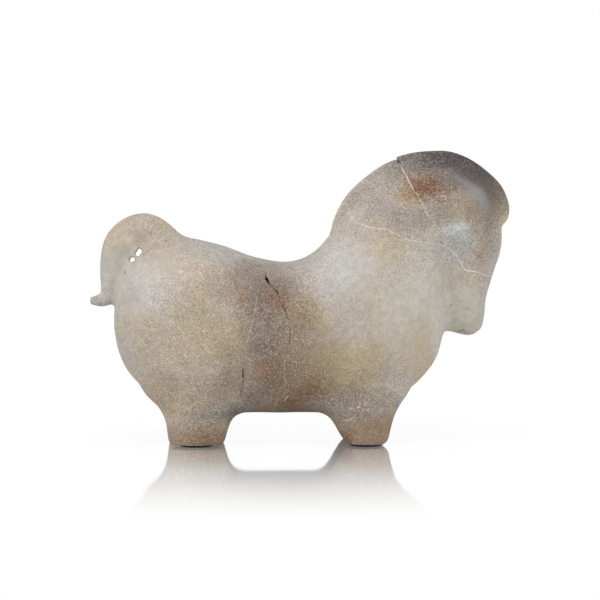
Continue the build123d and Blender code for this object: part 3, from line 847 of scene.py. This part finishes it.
# The tail: a tapered roll of clay, bent up off the rump, looped down behind it and flicked out at its tip.
# Its root is smoothed into the rump, and a small gap is left inside the loop.
TAIL_THICKNESS = 22.0
TAIL_DEPTH = 24.0
TAIL_RUN = 59.0
TAIL_RISE = 51.0
TAIL_ROOT = 0.645
TAIL_SIDES = 48
TAIL_STEPS = 5
ROUND = 2.0
TAIL_FILLET = 5.5
# How much wider the fillet is inside the loop, round this place of the side view
LOOP_FILL = 7.0
LOOP_PLACE = (-113.0, 134.0)
LOOP_REACH = (17.0, 13.0)
# Ahead of the rump's rear end in TAIL_RUN, above the root in TAIL_RISE, and girth
TAIL_ROWS = [
    (0.728, 0.000, 1.00), (0.557, 0.217, 1.00), (0.382, 0.331, 1.00), (0.209, 0.280, 1.00),
    (0.082, 0.140, 0.99), (0.026, -0.062, 0.94), (-0.010, -0.284, 0.80), (-0.035, -0.474, 0.64),
    (-0.083, -0.597, 0.51), (-0.170, -0.653, 0.38), (-0.292, -0.657, 0.20),
]
tail_rows = finer(TAIL_ROWS, TAIL_STEPS)
tail_route = np.zeros((len(tail_rows), 3))
tail_route[:, 0] = LENGTH * BARREL_ROWS[0][0] + TAIL_RUN * tail_rows[:, 0]
tail_route[:, 2] = HEIGHT * TAIL_ROOT + TAIL_RISE * tail_rows[:, 1]
tail_rings = []
for middle, along, girth in zip(tail_route, np.gradient(tail_route, axis=0), tail_rows[:, 2]):
    outwards = np.array((-along[2], 0, along[0])) / np.linalg.norm(along)
    sizes = (TAIL_THICKNESS * girth / 2, TAIL_DEPTH * girth / 2, 0, ROUND)
    tail_rings.append(oval(middle, (0, 1, 0), outwards, *sizes, TAIL_SIDES))
tail_fillet = TAIL_FILLET + LOOP_FILL * hump(LOOP_PLACE, LOOP_REACH)[:, None, :]
tail = common(added(field(tail_rings), tail_fillet), -loop_gap, GAP_ROUNDING)
make_piece("tail", tail, clay)

# The legs: four solid stubs of the same clay, rolled, cut level at the foot, and luted under the barrel with
# a wide smoothed fillet that takes them into the belly.
LEG_SPACING = 52.0
LEG_WIDTH = 31.0
LEG_SIDES = 64
LEG_STEPS = 4
LEG_SQUARENESS = 2.3
LEG_FILLET = 9.0
PAD_THICKNESS = 1.5
# Height in HEIGHT, rear and front edge in LENGTH, distance off the middle in LEG_SPACING, width in LEG_WIDTH
LEG_ROWS = {
    "hind": [
        (0.000, -0.309, -0.187, 0.50, 0.92),
        (0.014, -0.314, -0.181, 0.50, 1.00),
        (0.043, -0.317, -0.175, 0.50, 1.05),
        (0.071, -0.320, -0.168, 0.50, 1.10),
        (0.100, -0.327, -0.155, 0.50, 1.15),
        (0.130, -0.340, -0.126, 0.50, 1.20),
        (0.175, -0.368, -0.083, 0.47, 1.16),
        (0.240, -0.378, -0.074, 0.40, 0.90),
    ],
    "fore": [
        (0.000, 0.107, 0.197, 0.50, 0.90),
        (0.014, 0.099, 0.205, 0.50, 0.98),
        (0.043, 0.086, 0.210, 0.50, 1.03),
        (0.071, 0.075, 0.215, 0.50, 1.08),
        (0.100, 0.059, 0.222, 0.50, 1.12),
        (0.130, 0.036, 0.233, 0.49, 1.14),
        (0.175, 0.010, 0.252, 0.44, 1.05),
        (0.240, 0.002, 0.258, 0.34, 0.80),
    ],
}
for end, rows in LEG_ROWS.items():
    for side_name, side in (("left", 1), ("right", -1)):
        rings = []
        for up, rear, front, spread, girth in finer(rows, LEG_STEPS):
            middle = (LENGTH * (rear + front) / 2, side * LEG_SPACING * spread, PAD_THICKNESS + HEIGHT * up)
            sizes = (LENGTH * (front - rear) / 2, LEG_WIDTH * girth / 2, 0, LEG_SQUARENESS)
            rings.append(oval(middle, (1, 0, 0), (0, 1, 0), *sizes, LEG_SIDES))
        make_piece(f"{end}_{side_name}_leg", added(field(rings), LEG_FILLET), clay)

# The pieces as one skin: where a crack is shut or a part is luted on, the clay runs on without a step, so
# every point that lies on the outside takes the direction of the skin that the pieces make together.
ON_SKIN = 0.2
# A slope weaker than this has no clear direction
CLEAR_SLOPE = 0.3
slopes = np.gradient(skin)
for mesh, points in made.values():
    directions = np.stack([sampled(slope, points) for slope in slopes], 1)
    own = np.zeros(len(points) * 3, np.float32)
    mesh.vertices.foreach_get("normal", own)
    own = own.reshape(-1, 3)
    outside = (np.abs(sampled(skin, points)) < ON_SKIN) & (np.linalg.norm(directions, axis=1) > CLEAR_SLOPE)
    directions[~outside] = own[~outside]
    directions /= np.linalg.norm(directions, axis=1)[:, None]
    mesh.normals_split_custom_set_from_vertices(directions.tolist())

# The pads: rounds of black wool felt, cut with a punch and glued under the feet, so that the clay doesn't
# scratch the shelf. They are flat and plain, so the CAD's own meshes serve.
FELT_DARK = "#15130f"
FELT_PALE = "#2e2a25"
FELT_ROUGHNESS = 0.95
FELT_SHEEN = 0.3
# Length of a fibre and height of the nap, in mm
FIBRE = 0.4
NAP = 0.2
felt = bpy.data.materials.new("pressed_wool_felt")
felt.use_nodes = True
tree = felt.node_tree
shader = tree.nodes["Principled BSDF"]
# Short fibres, pressed flat, give a broken black
spot = add(tree, "ShaderNodeTexCoord", {}, output="Object")
fibres = add(tree, "ShaderNodeTexNoise", {"Vector": spot, "Scale": 1000 / FIBRE, "Detail": 3.0})
shade = {0: fibres, 6: linear(FELT_DARK), 7: linear(FELT_PALE)}
tree.links.new(add(tree, "ShaderNodeMix", shade, output=2, data_type="RGBA"), shader.inputs["Base Color"])
shader.inputs["Roughness"].default_value = FELT_ROUGHNESS
shader.inputs["Sheen Weight"].default_value = FELT_SHEEN
nap = add(tree, "ShaderNodeBump", {"Height": fibres, "Distance": NAP / 1000, "Strength": 0.6})
tree.links.new(nap, shader.inputs["Normal"])
for name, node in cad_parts.items():
    if name.endswith("_pad"):
        node.data.materials.clear()
        node.data.materials.append(felt)

# The stage: a polished white table top under plain soft studio light. Its shine fades away from the figure,
# and it runs to plain white, with only the figure's own shadow and mirror image on it.
TABLE_SIZE = 3.0
MIRROR_ROUGHNESS = 0.05
# How far from the figure's middle, in m, the shadow and the shine fade and are gone, and their shares
SHADOW_EDGE = (0.12, 0.20)
SHADOW_SHARE = 0.35
SHINE_EDGE = (0.03, 0.42)
SHINE_SHARE = 0.85
table = bpy.data.meshes.new("table")
corners = [(-1, -1), (1, -1), (1, 1), (-1, 1)]
table.from_pydata([(TABLE_SIZE * x, TABLE_SIZE * y, 0) for x, y in corners], [], [(0, 1, 2, 3)])
polished = bpy.data.materials.new("polished_white_acrylic")
polished.use_nodes = True
tree = polished.node_tree
tree.nodes.clear()
spot = add(tree, "ShaderNodeTexCoord", {}, output="Object")
away = add(tree, "ShaderNodeVectorMath", {0: spot}, output="Value", operation="LENGTH")
plain = add(tree, "ShaderNodeBsdfDiffuse", {"Color": linear("#fafafa")})
glow = add(tree, "ShaderNodeEmission", {"Color": linear("#ffffff"), "Strength": 1.0})
mirror = add(tree, "ShaderNodeBsdfGlossy", {"Color": linear("#ffffff"), "Roughness": MIRROR_ROUGHNESS})
shadow = {0: away, 1: SHADOW_EDGE[0], 2: SHADOW_EDGE[1], 3: SHADOW_SHARE, 4: 0.0}
shadow = add(tree, "ShaderNodeMapRange", shadow)
seen = add(tree, "ShaderNodeMixShader", {0: shadow, 1: glow, 2: plain})
shine = {0: away, 1: SHINE_EDGE[0], 2: SHINE_EDGE[1], 3: SHINE_SHARE, 4: 0.0}
shine = add(tree, "ShaderNodeMapRange", shine, interpolation_type="SMOOTHSTEP")
seen = add(tree, "ShaderNodeMixShader", {0: shine, 1: seen, 2: mirror})
dull = add(tree, "ShaderNodeBsdfDiffuse", {"Color": linear("#f0f0f0")})
camera_ray = add(tree, "ShaderNodeLightPath", {}, output="Is Camera Ray")
surface = add(tree, "ShaderNodeMixShader", {0: camera_ray, 1: dull, 2: seen})
add(tree, "ShaderNodeOutputMaterial", {"Surface": surface})
table.materials.append(polished)
floor = bpy.data.objects.new("table", table)
bpy.context.scene.collection.objects.link(floor)

# Light from all round, as in a white room: plain white to the camera and in mirrors, and a little less on
# the figure, so that the white round it takes no stronger lamp
ROOM_LIGHT = 0.78
world = bpy.data.worlds.new("studio")
bpy.context.scene.world = world
world.use_nodes = True
tree = world.node_tree
tree.nodes.clear()
white = add(tree, "ShaderNodeLightPath", {}, output="Is Camera Ray")
for ray in ("Is Glossy Ray", "Is Transmission Ray"):
    other = add(tree, "ShaderNodeLightPath", {}, output=ray)
    white = add(tree, "ShaderNodeMath", {0: white, 1: other}, operation="MAXIMUM")
level = add(tree, "ShaderNodeMapRange", {0: white, 3: ROOM_LIGHT, 4: 1.0})
sky = add(tree, "ShaderNodeBackground", {"Color": linear("#ffffff"), "Strength": level})
add(tree, "ShaderNodeOutputWorld", {"Surface": sky})
# Softboxes: place, size in m and power in W, all aimed at the figure
AIM = Vector((0.0, 0.0, 0.1))
SOFTBOXES = {
    "overhead": ((-0.25, -0.75, 1.25), 1.0, 7.0),
    "front_left": ((-1.4, -0.7, 0.4), 0.8, 4.0),
    "front_right": ((1.4, -0.7, 0.4), 0.8, 4.0),
}
for name, (stand, size, power) in SOFTBOXES.items():
    lamp = bpy.data.lights.new(name, "AREA")
    lamp.shape = "SQUARE"
    lamp.size = size
    lamp.energy = power
    holder = bpy.data.objects.new(name, lamp)
    holder.location = stand
    holder.rotation_euler = (AIM - Vector(stand)).to_track_quat("-Z", "Y").to_euler()
    bpy.context.scene.collection.objects.link(holder)

# The camera: a long lens that looks at the figure's right side, from a little to the rear and a little
# above. Its angles are round the target, its distance is in m, and lens and sensor are in mm.
AZIMUTH = math.radians(-2.4)
ELEVATION = math.radians(3.05)
DISTANCE = 1.8
TARGET = Vector((0.0, 0.0, 0.102))
LENS = 150.5
SENSOR = 36
camera_data = bpy.data.cameras.new("camera")
camera_data.lens = LENS
camera_data.sensor_width = SENSOR
camera = bpy.data.objects.new("camera", camera_data)
level_part = math.cos(ELEVATION)
direction = (math.sin(AZIMUTH) * level_part, -math.cos(AZIMUTH) * level_part, math.sin(ELEVATION))
offset = Vector(direction) * DISTANCE
camera.location = TARGET + offset
camera.rotation_euler = (-offset).to_track_quat("-Z", "Y").to_euler()
bpy.context.scene.collection.objects.link(camera)
bpy.context.scene.camera = camera
bpy.context.scene.view_settings.view_transform = "Standard"
